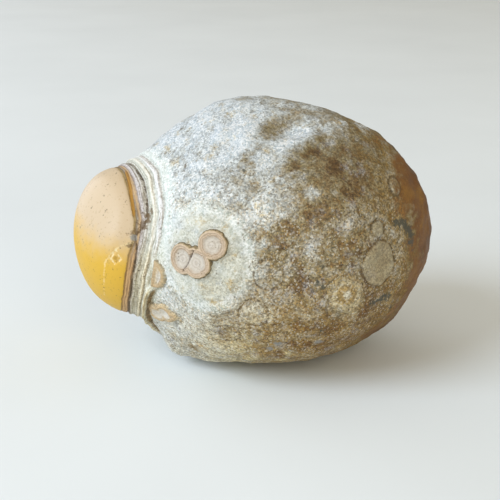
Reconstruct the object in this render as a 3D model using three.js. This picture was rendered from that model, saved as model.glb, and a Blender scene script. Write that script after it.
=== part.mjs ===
// A desert agate nodule that grew as one piece. A smooth ochre cap sits on a collar of thin ledges,
// and behind it swells a rounded, blunt-sided body with raised discs, low orbs, pits and lumps.
// It lies with its long way along X, the cap towards -X, on a small flat spot worn under it.
//
// Millimetres, +Z up. The origin is under the middle of the stone, level with the flat spot.
// A place on the stone is a bearing from its heart: turn 0 is the front (-Y), 90 is +X and
// 180 the back, and rise is the angle above level, both in degrees.

import * as THREE from "three";

// ---- driving dimensions -----------------------------------------------------------------------

const HEART = new THREE.Vector3(2.95, -0.15, 21.4);

// The blunt sides of the body: turn, rise, and how far each side lies from the heart.
const SIDES = [
  [91, 2, 27.7],
  [97, 21, 27.5],
  [106, 38, 24.6],
  [129, 61, 21.8],
  [162, 70, 22.2],
  [-135, 64, 23.5],
  [-114, 50, 23.5],
  [81, -24, 26.1],
  [58, -50, 24.2],
  [28, -69, 23.1],
  [-9, -71, 22.1],
  [-60, -52, 26.4],
  [-74, -39, 26.1],
  [0, 5, 22.3],
  [0, 42, 23.0],
  [0, -35, 23.2],
  [45, 8, 24.5],
  [-45, 8, 23.5],
  [40, -30, 24.5],
  [-40, -28, 23.5],
  [45, 42, 24.8],
  [-45, 45, 23.0],
  [180, 5, 22.3],
  [180, 50, 23.6],
  [180, -35, 23.4],
  [135, 8, 24.5],
  [-135, 8, 23.5],
  [140, -30, 24.5],
  [-140, -28, 23.5],
  [130, 42, 25.2],
  [-130, 42, 24.0],
  [-65, 12, 24.4],
  [-65, -18, 26.2],
  [-110, 12, 24.4],
  [-110, -18, 23.6],
  [0, 66, 23.4],
  [178, 36, 22.8],
  [150, -66, 23.6],
  [-150, -64, 23.8],
  [0, -90, 24.6],
];
const EDGE_SHARPNESS = 16; // the higher, the crisper the edges between the blunt sides
const BODY_RADIUS = 22; // mean radius, which turns the body's gauge into millimetres

// The cap: half an ellipsoid on a round foot, with one cheek worn flat.
const CAP_FOOT = new THREE.Vector3(-21.25, -2.75, 20.7);
const CAP_TURN = -77;
const CAP_RISE = -4;
const CAP_RADIUS = 12.0;
const CAP_HEIGHT = 8.0;
const CAP_ROOT = 26; // how deep the cap's own form tapers back into the body
const CAP_GAUGE = 10; // mean radius, which turns the cap's gauge into millimetres
const CHEEK = { turn: -48, rise: 30, distance: 9.3, fillet: 1.2 };
const COLLAR_FILLET = 3.6; // how softly the cap's root runs into the body

// Angles round the cap run from 0 at its top, through 90 at its front, to 180 underneath.
// The cap's edge wanders round the stone: angle, and distance behind the cap's foot.
const CAP_EDGE = [
  [0, 0.3],
  [12, 0.75],
  [31, 0.9],
  [58, 1.1],
  [73, 0.35],
  [83, -0.5],
  [100, -1.42],
  [125, -2.15],
  [165, -2.2],
  [210, -1.5],
  [280, -0.8],
  [347, -0.3],
  [360, 0.3],
];
// The ledges crowd together towards the front and below: angle, and spacing.
const LEDGE_SPACING = [
  [0, 0.75],
  [12, 0.78],
  [31, 1.0],
  [52, 0.92],
  [69, 0.83],
  [84, 0.84],
  [100, 0.77],
  [138, 0.72],
  [200, 0.8],
  [280, 0.88],
  [360, 0.75],
];

// The collar's ledges: distance behind the edge of the cap at full spacing, and height.
const LEDGES = [
  [-0.5, 0],
  [0, 0.03],
  [0.3, -0.25],
  [0.7, -0.1],
  [1.2, -0.2],
  [1.65, 0.02],
  [2.1, 0.12],
  [2.4, 0],
  [2.65, -0.28],
  [3.0, -0.14],
  [3.35, 0.02],
  [3.75, 0.34],
  [4.15, -0.1],
  [4.65, 0.18],
  [5.2, -0.22],
  [5.75, 0.18],
  [6.4, -0.06],
  [7.2, 0.06],
  [8.2, 0],
];
// The ledges are worn lower where they crowd together: angle, and share of their full height.
const LEDGE_STRENGTH = [
  [0, 0.6],
  [30, 0.8],
  [60, 0.7],
  [80, 0.5],
  [105, 0.5],
  [140, 0.45],
  [165, 0.5],
  [200, 0.8],
  [300, 0.8],
  [360, 0.6],
];
// One seam crosses the ledges and almost reaches the cap at its front: angle, and ledge.
const SEAM_COURSE = [
  [0, 2.4],
  [22, 2.65],
  [46, 2.6],
  [57, 2.35],
  [64, 2.0],
  [67, 1.1],
  [70, 0.55],
  [76, 1.1],
  [83, 1.6],
  [160, 1.65],
  [360, 2.4],
];
const SEAM = { depth: 0.35, width: 0.25 };

// A thin lip hooks out of the collar underneath: angle round the cap, distance behind its edge.
const LIP_COURSE = [
  [104, 4.4],
  [110, 3.85],
  [116, 3.55],
  [142, 3.5],
  [152, 4.05],
  [157, 4.6],
  [160, 5.15],
  [166, 5.9],
  [172, 6.9],
];
const LIP = { height: 0.7, width: 0.42, groove: 0.5, fade: 8 };

// Raised discs: turn, rise, radius. Where two meet, each stops at the line between them, and
// none grows over the collar.
const DISCS = [
  [-34.2, 4.8, 2.35],
  [-28.1, 4.4, 2.35],
  [-22.2, 11.7, 2.2],
  [-49.1, -4.7, 2.15],
  [-54.3, -23.2, 1.75],
  [-49.3, -22.3, 1.75],
  [-147, 21, 2.3],
  [-140, 14, 2.0],
  [158, -12, 2.4],
];
const COLLAR_REACH = 4.1; // how far behind the cap's edge the collar overlaps the discs
// The section of a disc: distance outside its edge, and height.
const DISC_SECTION = [
  [-1.4, 0.2],
  [-0.55, 0.5],
  [-0.1, 0.42],
  [0.3, -0.06],
  [0.8, 0],
];
const DISC_CRACK = { course: [[-29.3, 8.8], [-31.6, 4.0], [-33.6, 0.5]], width: 0.28, depth: 0.4 };

// Low orbs, each a faint dome in a groove: turn, rise, radius, height.
const ORBS = [
  [42.0, 1.4, 3.6, 0.2],
  [42.9, 14.4, 1.35, 0.14],
  [27.6, -7.1, 3.1, 0.1],
  [4.3, 16.8, 2.5, 0.16],
  [-1.4, 1.1, 2.2, 0.12],
  [-7.0, -14.3, 2.3, 0.14],
  [57.9, 26.4, 1.5, 0.14],
  [31.9, 18.2, 1.7, 0.08],
  [127, 10, 3.0, 0.2],
  [139, 30, 2.6, 0.2],
  [168, 16, 3.0, 0.18],
  [-160, -10, 2.6, 0.18],
  [-120, 34, 2.4, 0.16],
  [128, -22, 2.4, 0.18],
];
const ORB_GROOVE = { depth: 0.18, width: 0.33 };

// Lumps and hollows: turn, rise, height, and the radius over which it fades.
const LUMPS = [
  [-66, -47, 1.4, 3.2],
  [-48, -53, 0.45, 2.6],
  [71, -34, 0.5, 2.4],
  [74, -15, -0.3, 2.6],
  [85, 46, 0.3, 2.2],
  [74, 57, -0.25, 3.5],
  [-89, 33, -0.25, 2.2],
  [-77, -22, -0.2, 2.5],
  [10, 61.5, -1.1, 2.3],
  [20, 60.0, -0.6, 1.9],
  [14, 53.6, 0.5, 1.3],
  [22, 53.2, 0.6, 1.3],
  [27.5, 53.2, 0.4, 1.0],
  [25.5, 48.6, -0.75, 2.1],
  [34, 47, 0.25, 1.8],
  [-36.1, 56.1, 0.5, 1.6],
  [-17.8, 55.8, 0.55, 1.8],
  [-27, 54.0, -0.35, 1.3],
  [-12, 62, 0.35, 1.5],
  [-18, -27, -0.45, 1.9],
  [-5, -41, 0.35, 1.8],
  [20, -38, 0.3, 1.5],
  [34, 30, -0.35, 2.0],
  [160, 42, -0.8, 2.2],
  [-165, 38, 0.5, 2.4],
  [146, 2, -0.6, 2.0],
  [-172, -24, 0.6, 2.8],
  [-128, -8, -0.5, 2.2],
  [112, -34, 0.5, 2.6],
  [104, 24, -0.4, 2.2],
];
const CREASE = { course: [[29.4, 53.4], [30.7, 49.1], [29.2, 40.8]], height: 0.35, width: 0.5 };

// How finely the skin is faceted.
const COLUMNS = 46;
const CAP_ROWS = 8;
const BODY_ROWS = 20;
const DISC_FACET = 0.5;
const DISC_RIM = 0.6;
const ORB_FACET = 2.4;
const LUMP_FACET = 0.85; // as a share of the radius of the lump
const FACET_GROWTH = 1.8;
const REFINING_PASSES = 5;

// ---- the stone's smooth form ------------------------------------------------------------------

function toward(turn, rise) {
  const t = THREE.MathUtils.degToRad(turn);
  const r = THREE.MathUtils.degToRad(rise);
  return new THREE.Vector3(Math.sin(t) * Math.cos(r), -Math.cos(t) * Math.cos(r), Math.sin(r));
}

const sides = SIDES.map(([turn, rise, distance]) => toward(turn, rise).divideScalar(distance));
const capAxis = toward(CAP_TURN, CAP_RISE);
const cheekNormal = toward(CHEEK.turn, CHEEK.rise);

// The lower of two depths, with a fillet where they cross.
function merged(a, b, fillet) {
  const share = THREE.MathUtils.clamp(0.5 + (0.5 * (a - b)) / fillet, 0, 1);
  return a * (1 - share) + b * share - fillet * share * (1 - share);
}

// Each depth is about the distance outside the form: below zero inside, above zero outside.
function bodyDepth(point) {
  const fromHeart = point.clone().sub(HEART);
  let sum = 0;
  for (const side of sides) {
    sum += Math.max(side.dot(fromHeart), 0) ** EDGE_SHARPNESS;
  }
  return (sum ** (1 / EDGE_SHARPNESS) - 1) * BODY_RADIUS;
}

function capDepth(point) {
  const fromFoot = point.clone().sub(CAP_FOOT);
  const along = fromFoot.dot(capAxis);
  const across = Math.sqrt(Math.max(fromFoot.lengthSq() - along * along, 0));
  const dome = Math.hypot(along / (along > 0 ? CAP_HEIGHT : CAP_ROOT), across / CAP_RADIUS);
  return -merged(-(dome - 1) * CAP_GAUGE, CHEEK.distance - fromFoot.dot(cheekNormal), CHEEK.fillet);
}

function skinDepth(point) {
  return merged(capDepth(point), bodyDepth(point), COLLAR_FILLET);
}

function skinPoint(start, direction) {
  let inside = 2;
  let outside = 48;
  for (let step = 0; step < 32; step += 1) {
    const middle = (inside + outside) / 2;
    const depth = skinDepth(start.clone().addScaledVector(direction, middle));
    if (depth < 0) {
      inside = middle;
    } else {
      outside = middle;
    }
  }
  return start.clone().addScaledVector(direction, inside);
}

function skinNormal(point) {
  const step = 0.05;
  const slope = ["x", "y", "z"].map((axis) => {
    const ahead = point.clone();
    const behind = point.clone();
    ahead[axis] += step;
    behind[axis] -= step;
    return skinDepth(ahead) - skinDepth(behind);
  });
  return new THREE.Vector3(...slope).normalize();
}

const place = (turn, rise) => skinPoint(HEART, toward(turn, rise));

// ---- relief -----------------------------------------------------------------------------------

// Height read off a list of [position, height] rows, straight between the rows.
function heightAlong(rows, position) {
  const next = rows.findIndex(([at]) => at > position);
  if (next === 0) {
    return rows[0][1];
  }
  if (next < 0) {
    return rows[rows.length - 1][1];
  }
  const [a, heightA] = rows[next - 1];
  const [b, heightB] = rows[next];
  return heightA + ((heightB - heightA) * (position - a)) / (b - a);
}

// Distance from the nearest of the straight lines that join the points in turn.
function distanceToCourse(point, course) {
  const distances = course.slice(1).map((to, index) => {
    const line = new THREE.Line3(course[index], to);
    return line.closestPointToPoint(point, true, new THREE.Vector3()).distanceTo(point);
  });
  return Math.min(...distances);
}

const bell = (distance, width) => Math.exp(-((distance / width) ** 2));

// Across the cap: straight up its foot, and from there round towards the front.
const capUp = new THREE.Vector3(0, 0, 1).addScaledVector(capAxis, -capAxis.z).normalize();
const capFront = new THREE.Vector3().crossVectors(capAxis, capUp).normalize();
if (capFront.y > 0) {
  capFront.negate();
}

const edgeBehind = (angle) => heightAlong(CAP_EDGE, angle);
const ledgeSpacing = (angle) => heightAlong(LEDGE_SPACING, angle);

function lipRelief(angle, behindEdge) {
  const fromStart = angle - LIP_COURSE[0][0];
  const toEnd = LIP_COURSE[LIP_COURSE.length - 1][0] - angle;
  const fade = THREE.MathUtils.clamp(Math.min(fromStart, toEnd) / LIP.fade, 0, 1);
  const off = behindEdge - heightAlong(LIP_COURSE, angle);
  return fade * (LIP.height * bell(off, LIP.width) - LIP.groove * bell(off - 2 * LIP.width, LIP.width));
}

// Where a point is round the cap: its angle, its distance behind the edge, and that in ledges.
function aroundCap(point) {
  const fromFoot = point.clone().sub(CAP_FOOT);
  const turned = THREE.MathUtils.radToDeg(Math.atan2(fromFoot.dot(capFront), fromFoot.dot(capUp)));
  const angle = THREE.MathUtils.euclideanModulo(turned, 360);
  const behindEdge = -fromFoot.dot(capAxis) - edgeBehind(angle);
  return { angle, behindEdge, ledge: behindEdge / ledgeSpacing(angle) };
}

function collarRelief(point) {
  const { angle, behindEdge, ledge } = aroundCap(point);
  const ledges = heightAlong(LEDGE_STRENGTH, angle) * heightAlong(LEDGES, ledge);
  const seam = SEAM.depth * bell(ledge - heightAlong(SEAM_COURSE, angle), SEAM.width);
  return ledges - seam + lipRelief(angle, behindEdge);
}

const discs = DISCS.map(([turn, rise, radius]) => ({ at: place(turn, rise), radius }));
const orbs = ORBS.map(([turn, rise, radius, height]) => ({ at: place(turn, rise), radius, height }));
const lumps = LUMPS.map(([turn, rise, height, radius]) => ({ at: place(turn, rise), height, radius }));
const discCrack = DISC_CRACK.course.map(([turn, rise]) => place(turn, rise));
const crease = CREASE.course.map(([turn, rise]) => place(turn, rise));

function outsideDiscs(point) {
  const nearest = Math.min(...discs.map(({ at, radius }) => point.distanceTo(at) - radius));
  return Math.max(nearest, COLLAR_REACH - aroundCap(point).behindEdge);
}

function relief(point) {
  let height = collarRelief(point);
  height += heightAlong(DISC_SECTION, outsideDiscs(point));
  height -= DISC_CRACK.depth * bell(distanceToCourse(point, discCrack), DISC_CRACK.width);
  height += CREASE.height * bell(distanceToCourse(point, crease), CREASE.width);
  for (const orb of orbs) {
    const outside = point.distanceTo(orb.at) - orb.radius;
    height += orb.height * THREE.MathUtils.smoothstep(-outside, 0, 0.6);
    height -= ORB_GROOVE.depth * bell(outside, ORB_GROOVE.width);
  }
  for (const lump of lumps) {
    height += lump.height * bell(point.distanceTo(lump.at), lump.radius);
  }
  return height;
}

// ---- the faceted skin -------------------------------------------------------------------------

// Every corner of the skin is found along a ray. The rays start on the cap's axis: they fan out
// over the cap, stand square to the axis along each ledge, and fan out again over the body.
const heartBehind = CAP_FOOT.clone().sub(HEART).dot(capAxis);
const collarWidth = LEDGES[LEDGES.length - 1][0];

function ray(behind, tilt, angle) {
  const start = CAP_FOOT.clone().addScaledVector(capAxis, -behind);
  const around = THREE.MathUtils.degToRad(angle);
  const out = capUp.clone().multiplyScalar(Math.cos(around)).addScaledVector(capFront, Math.sin(around));
  const direction = capAxis.clone().multiplyScalar(Math.cos(tilt)).addScaledVector(out, Math.sin(tilt));
  return { start, direction };
}

function corner({ start, direction }) {
  const base = skinPoint(start, direction);
  const point = base.clone().addScaledVector(skinNormal(base), relief(base));
  point.z = Math.max(point.z, 0); // the flat spot
  return { start, direction, point };
}

// The rows of rays, each told by an angle round the cap.
function allRows() {
  const rows = [];
  for (let row = 1; row < CAP_ROWS; row += 1) {
    const share = row / CAP_ROWS;
    rows.push((angle) => ray(share * edgeBehind(angle), 0.5 * Math.PI * share, angle));
  }
  for (const [ledge] of LEDGES.slice(1)) {
    rows.push((angle) => ray(edgeBehind(angle) + ledge * ledgeSpacing(angle), 0.5 * Math.PI, angle));
  }
  for (let row = 1; row < BODY_ROWS; row += 1) {
    const share = row / BODY_ROWS;
    rows.push((angle) => {
      const collarEnd = edgeBehind(angle) + collarWidth * ledgeSpacing(angle);
      const behind = THREE.MathUtils.lerp(collarEnd, heartBehind, Math.min(share * 2, 1));
      return ray(behind, 0.5 * Math.PI * (1 + share), angle);
    });
  }
  return rows;
}

function firstSkin() {
  const rows = allRows();
  const corners = [corner(ray(0, 0, 0))];
  for (const row of rows) {
    for (let column = 0; column < COLUMNS; column += 1) {
      corners.push(corner(row((360 * column) / COLUMNS)));
    }
  }
  corners.push(corner(ray(heartBehind, Math.PI, 0)));
  const last = corners.length - 1;
  const at = (row, column) => 1 + row * COLUMNS + (column % COLUMNS);
  const faces = [];
  for (let column = 0; column < COLUMNS; column += 1) {
    faces.push([0, at(0, column + 1), at(0, column)]);
    for (let row = 0; row < rows.length - 1; row += 1) {
      const [a, b] = [at(row, column), at(row, column + 1)];
      const [c, d] = [at(row + 1, column + 1), at(row + 1, column)];
      faces.push([a, c, d], [a, b, c]);
    }
    faces.push([last, at(rows.length - 1, column), at(rows.length - 1, column + 1)]);
  }
  return { corners, faces };
}

// The longest edge allowed at a point: short over what stands out, and longer further off.
function facetSize(point) {
  const disc = outsideDiscs(point);
  const inner = THREE.MathUtils.clamp(-disc - DISC_RIM, 0, DISC_RIM);
  let size = DISC_FACET + FACET_GROWTH * (Math.max(disc - 0.3, 0) + inner);
  for (const { at, radius } of orbs) {
    const edge = Math.abs(point.distanceTo(at) - radius);
    size = Math.min(size, ORB_FACET + FACET_GROWTH * edge);
  }
  for (const { at, radius } of lumps) {
    const outside = Math.max(point.distanceTo(at) - radius, 0);
    size = Math.min(size, LUMP_FACET * radius + FACET_GROWTH * outside);
  }
  return size;
}

// Edges longer than their facet size are halved, and each face is cut to suit its halved edges.
function refine({ corners, faces }) {
  const halves = new Map();
  const half = (a, b) => {
    const key = a < b ? `${a} ${b}` : `${b} ${a}`;
    if (!halves.has(key)) {
      const [p, q] = [corners[a].point, corners[b].point];
      const middle = p.clone().add(q).multiplyScalar(0.5);
      const long = p.distanceTo(q) > facetSize(middle);
      if (long) {
        const start = corners[a].start.clone().add(corners[b].start).multiplyScalar(0.5);
        const direction = corners[a].direction.clone().add(corners[b].direction).normalize();
        corners.push(corner({ start, direction }));
      }
      halves.set(key, long ? corners.length - 1 : -1);
    }
    return halves.get(key);
  };
  const cut = [];
  for (const face of faces) {
    const middles = face.map((from, side) => half(from, face[(side + 1) % 3]));
    const count = middles.filter((middle) => middle >= 0).length;
    // Turn the face so that a lone halved edge comes first, or a lone whole edge comes last.
    let turn = 0;
    if (count === 1) {
      turn = middles.findIndex((middle) => middle >= 0);
    } else if (count === 2) {
      turn = (middles.indexOf(-1) + 1) % 3;
    }
    const [a, b, c] = [0, 1, 2].map((side) => face[(side + turn) % 3]);
    const [ab, bc, ca] = [0, 1, 2].map((side) => middles[(side + turn) % 3]);
    if (count === 0) {
      cut.push([a, b, c]);
    } else if (count === 1) {
      cut.push([a, ab, c], [ab, b, c]);
    } else if (count === 2) {
      cut.push([ab, b, bc], [a, ab, bc], [a, bc, c]);
    } else {
      cut.push([a, ab, ca], [ab, b, bc], [ca, bc, c], [ab, bc, ca]);
    }
  }
  return { corners, faces: cut };
}

function skinGeometry() {
  let skin = firstSkin();
  for (let pass = 0; pass < REFINING_PASSES; pass += 1) {
    skin = refine(skin);
  }
  const geometry = new THREE.BufferGeometry();
  const positions = skin.corners.flatMap(({ point }) => point.toArray());
  geometry.setAttribute("position", new THREE.Float32BufferAttribute(positions, 3));
  geometry.setIndex(skin.faces.flat());
  geometry.computeVertexNormals();
  return geometry;
}

// ---- the part ---------------------------------------------------------------------------------

const agate = new THREE.Mesh(
  skinGeometry(),
  new THREE.MeshStandardMaterial({ color: 0xa8987a, roughness: 0.8, metalness: 0 }),
);
agate.name = "agate";

const stone = new THREE.Group();
stone.add(agate);

export default stone;
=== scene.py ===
# A desert agate: one natural nodule, about 59 mm long, with a worn ochre cap on a collar of thin
# ledges, and behind it a sugary, blunt-sided body with raised discs, low orbs, pits and stains.
#
# Forms are worked out in millimetres and turned to metres as the mesh is made. A place on the
# stone is a bearing from its heart: turn 0 is the front (-Y), 90 is +X, 180 the back, and rise
# is the angle above level, both in degrees.

import math

import bpy
import numpy as np
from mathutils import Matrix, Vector, noise


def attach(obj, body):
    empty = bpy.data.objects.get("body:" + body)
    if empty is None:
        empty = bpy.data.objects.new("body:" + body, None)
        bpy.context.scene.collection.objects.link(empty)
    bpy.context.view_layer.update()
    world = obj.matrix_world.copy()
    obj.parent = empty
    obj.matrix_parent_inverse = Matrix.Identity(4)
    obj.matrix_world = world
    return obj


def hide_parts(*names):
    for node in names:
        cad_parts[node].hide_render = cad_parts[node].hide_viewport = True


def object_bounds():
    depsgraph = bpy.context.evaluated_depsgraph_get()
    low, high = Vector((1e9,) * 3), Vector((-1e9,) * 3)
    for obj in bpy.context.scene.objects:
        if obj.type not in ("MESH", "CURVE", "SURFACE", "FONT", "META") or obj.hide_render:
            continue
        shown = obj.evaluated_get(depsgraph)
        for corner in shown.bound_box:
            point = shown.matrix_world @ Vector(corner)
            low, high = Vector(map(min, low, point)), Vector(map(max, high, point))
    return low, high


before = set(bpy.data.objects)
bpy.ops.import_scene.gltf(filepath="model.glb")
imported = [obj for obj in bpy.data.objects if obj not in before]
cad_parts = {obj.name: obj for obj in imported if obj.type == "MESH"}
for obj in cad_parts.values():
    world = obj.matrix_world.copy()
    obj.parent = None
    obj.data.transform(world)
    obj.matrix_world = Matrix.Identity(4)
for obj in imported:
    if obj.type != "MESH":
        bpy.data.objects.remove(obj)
cad_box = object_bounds()

# ---- the stone's smooth form -------------------------------------------------------------------
# The nodule grew in a gas pocket and was then blasted by wind-blown sand. The body is a swollen
# lump with many blunt sides, and the cap is half an ellipsoid with one cheek worn flat. Both are
# one piece of chalcedony, so their surfaces run together in a soft fillet.

HEART = np.array([2.95, -0.15, 21.4])

# The blunt sides of the body: turn, rise, and how far each side lies from the heart.
SIDES = np.array([
    [91, 2, 27.7],
    [97, 21, 27.5],
    [106, 38, 24.6],
    [129, 61, 21.8],
    [162, 70, 22.2],
    [-135, 64, 23.5],
    [-114, 50, 23.5],
    [81, -24, 26.1],
    [58, -50, 24.2],
    [28, -69, 23.1],
    [-9, -71, 22.1],
    [-60, -52, 26.4],
    [-74, -39, 26.1],
    [0, 5, 22.3],
    [0, 42, 23.0],
    [0, -35, 23.2],
    [45, 8, 24.5],
    [-45, 8, 23.5],
    [40, -30, 24.5],
    [-40, -28, 23.5],
    [45, 42, 24.8],
    [-45, 45, 23.0],
    [180, 5, 22.3],
    [180, 50, 23.6],
    [180, -35, 23.4],
    [135, 8, 24.5],
    [-135, 8, 23.5],
    [140, -30, 24.5],
    [-140, -28, 23.5],
    [130, 42, 25.2],
    [-130, 42, 24.0],
    [-65, 12, 24.4],
    [-65, -18, 26.2],
    [-110, 12, 24.4],
    [-110, -18, 23.6],
    [0, 66, 23.4],
    [178, 36, 22.8],
    [150, -66, 23.6],
    [-150, -64, 23.8],
    [0, -90, 24.6],
])
SHARPNESS_DOUBLINGS = 4  # the sides meet in a power of two to this, which is 16
BODY_RADIUS = 22  # mean radius, which turns the body's gauge into millimetres

# The cap stands on its foot along its own axis, and its root runs back inside the body.
CAP_FOOT = np.array([-21.25, -2.75, 20.7])
CAP_TURN = -77
CAP_RISE = -4
CAP_RADIUS = 12.0
CAP_HEIGHT = 8.0
CAP_ROOT = 26
CAP_GAUGE = 10  # mean radius, which turns the cap's gauge into millimetres
CHEEK_TURN = -48
CHEEK_RISE = 30
CHEEK_DISTANCE = 9.3
CHEEK_FILLET = 1.2
COLLAR_FILLET = 3.6

# Along every ray the skin lies between these distances, and is closed in on by halving.
NEAREST_SKIN = 2.0
FURTHEST_SKIN = 48.0
HALVINGS = 24


def toward(turn, rise):
    turn, rise = np.radians(turn), np.radians(rise)
    return np.stack([np.sin(turn) * np.cos(rise), -np.cos(turn) * np.cos(rise), np.sin(rise)], -1)


def merged(a, b, fillet):
    """The lower of two depths, with a fillet where they cross."""
    share = np.clip(0.5 + 0.5 * (a - b) / fillet, 0, 1)
    return a * (1 - share) + b * share - fillet * share * (1 - share)


side_normals = toward(SIDES[:, 0], SIDES[:, 1]) / SIDES[:, 2:]
cap_axis = toward(CAP_TURN, CAP_RISE)
cheek_normal = toward(CHEEK_TURN, CHEEK_RISE)


def body_depth(points):
    gauge = np.clip((points - HEART) @ side_normals.T, 0, None)
    for _ in range(SHARPNESS_DOUBLINGS):
        gauge = gauge * gauge
    return (gauge.sum(-1) ** (0.5**SHARPNESS_DOUBLINGS) - 1) * BODY_RADIUS


def cap_depth(points):
    from_foot = points - CAP_FOOT
    along = from_foot @ cap_axis
    across = np.sqrt(np.clip((from_foot**2).sum(-1) - along**2, 0, None))
    dome = np.hypot(along / np.where(along > 0, CAP_HEIGHT, CAP_ROOT), across / CAP_RADIUS)
    cheek = from_foot @ cheek_normal - CHEEK_DISTANCE
    return -merged(-(dome - 1) * CAP_GAUGE, -cheek, CHEEK_FILLET)


def skin_depth(points):
    return merged(cap_depth(points), body_depth(points), COLLAR_FILLET)


def skin_points(starts, directions):
    inside = np.full(len(directions), NEAREST_SKIN)
    outside = np.full(len(directions), FURTHEST_SKIN)
    for _ in range(HALVINGS):
        middle = (inside + outside) / 2
        within = skin_depth(starts + directions * middle[:, None]) < 0
        inside = np.where(within, middle, inside)
        outside = np.where(within, outside, middle)
    return starts + directions * inside[:, None]


def unit(vectors):
    return vectors / np.linalg.norm(vectors, axis=-1, keepdims=True)


def skin_normals(points):
    step = 0.05
    ahead = [skin_depth(points + step * axis) for axis in np.eye(3)]
    behind = [skin_depth(points - step * axis) for axis in np.eye(3)]
    return unit(np.stack(ahead, -1) - np.stack(behind, -1))


# ---- the collar --------------------------------------------------------------------------------
# Thin growth bands stand out round the cap's foot, because the wind cut the softer bands between
# them. They wander with the cap's edge and crowd together towards the front and below. Angles
# round the cap run from 0 at its top, through 90 at its front, to 180 underneath.

CAP_EDGE = np.array([
    [0, 0.3], [12, 0.75], [31, 0.9], [58, 1.1], [73, 0.35], [83, -0.5], [100, -1.42],
    [125, -2.15], [165, -2.2], [210, -1.5], [280, -0.8], [347, -0.3], [360, 0.3],
])
LEDGE_SPACING = np.array([
    [0, 0.75], [12, 0.78], [31, 1.0], [52, 0.92], [69, 0.83], [84, 0.84], [100, 0.77],
    [138, 0.72], [200, 0.8], [280, 0.88], [360, 0.75],
])
# Distance behind the edge of the cap at full spacing, and height.
LEDGES = np.array([
    [-0.7, 0], [-0.15, 0.03], [0.05, -0.04], [0.25, -0.24], [0.45, -0.2], [0.7, -0.1],
    [0.95, -0.22], [1.2, -0.18], [1.35, -0.24], [1.6, 0.0], [1.8, 0.04], [1.92, -0.04],
    [2.1, 0.12], [2.3, 0.08], [2.45, -0.04], [2.65, -0.28], [2.85, -0.2], [3.05, -0.12],
    [3.3, -0.02], [3.5, 0.14], [3.65, 0.34], [3.85, 0.3], [4.05, -0.08], [4.2, -0.1], [4.4, 0.12],
    [4.65, 0.18], [4.85, 0.02], [5.05, -0.2], [5.25, -0.2], [5.5, 0.08], [5.75, 0.18],
    [6.05, 0.08], [6.35, -0.06], [6.7, 0.0], [7.1, 0.06], [8.2, 0],
])
# The ledges are worn lower where they crowd together: angle, and share of their full height.
LEDGE_STRENGTH = np.array([
    [0, 0.6], [30, 0.8], [60, 0.7], [80, 0.5], [105, 0.5], [140, 0.45], [165, 0.5], [200, 0.8],
    [300, 0.8], [360, 0.6],
])
# One dark seam crosses the ledges and almost reaches the cap at its front: angle, and ledge.
SEAM = np.array([
    [0, 2.4], [22, 2.65], [46, 2.6], [57, 2.35], [64, 2.0], [67, 1.1], [70, 0.55], [76, 1.1],
    [83, 1.6], [160, 1.65], [360, 2.4],
])
SEAM_DEPTH = 0.35
SEAM_WIDTH = 0.16  # in ledges

# A thin lip hooks out of the collar underneath: angle, and distance behind the cap's edge.
LIP_COURSE = np.array([
    [104, 4.4], [110, 3.85], [116, 3.55], [142, 3.5], [152, 4.05], [157, 4.6], [160, 5.15],
    [166, 5.9], [172, 6.9],
])
LIP_HEIGHT = 0.7
LIP_WIDTH = 0.3
LIP_GROOVE_DEPTH = 0.5
LIP_GROOVE_BEHIND = 2.4 * LIP_WIDTH
LIP_FADE = 8  # degrees over which the lip sinks away at each end

cap_up = unit(np.array([0, 0, 1]) - cap_axis * cap_axis[2])
cap_front = np.cross(cap_axis, cap_up)
cap_front = -cap_front if cap_front[1] > 0 else cap_front  # the stone's front is -Y


def around_cap(points):
    """Angle round the cap, distance behind its edge, and the same counted in ledges."""
    from_foot = points - CAP_FOOT
    angle = np.degrees(np.arctan2(from_foot @ cap_front, from_foot @ cap_up)) % 360
    behind_edge = -from_foot @ cap_axis - np.interp(angle, *CAP_EDGE.T)
    return angle, behind_edge, behind_edge / np.interp(angle, *LEDGE_SPACING.T)


def lip(angle, behind_edge):
    ends = np.minimum(angle - LIP_COURSE[0, 0], LIP_COURSE[-1, 0] - angle)
    off = behind_edge - np.interp(angle, *LIP_COURSE.T)
    return np.clip(ends / LIP_FADE, 0, 1), off


def bell(distance, width):
    return np.exp(-((distance / width) ** 2))


def collar_relief(points):
    angle, behind_edge, ledge = around_cap(points)
    height = np.interp(angle, *LEDGE_STRENGTH.T) * np.interp(ledge, *LEDGES.T)
    height -= SEAM_DEPTH * bell(ledge - np.interp(angle, *SEAM.T), SEAM_WIDTH)
    there, off = lip(angle, behind_edge)
    height += there * LIP_HEIGHT * bell(off, LIP_WIDTH)
    return height - there * LIP_GROOVE_DEPTH * bell(off - LIP_GROOVE_BEHIND, LIP_WIDTH)


# A lozenge chipped from the cap's front, and the healed cracks that run off it: turn and rise of
# each corner.
CHIP = [[-59.5, 3.0], [-58.2, 0.2], [-59.6, -1.4], [-60.6, 0.3], [-59.5, 3.0]]
VEINS = [[-56.8, 5.9], [-58.7, 4.5], [-60.4, 2.0], [-62.2, -1.6], [-63.9, -7.7], [-67.3, -13.9]]
CHIP_DEPTH = 0.16
CHIP_WIDTH = 0.2
CHIP_FLOOR = 0.42

# ---- discs, orbs and lumps ---------------------------------------------------------------------
# Small silica discs grew on the skin, each a dished button with a double rim. Orbs are the same
# growths seen in section, ground level with the skin and ringed by a fine groove. The lumps and
# hollows are where grit or softer quartz fell out and the wind rounded what was left.

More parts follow.
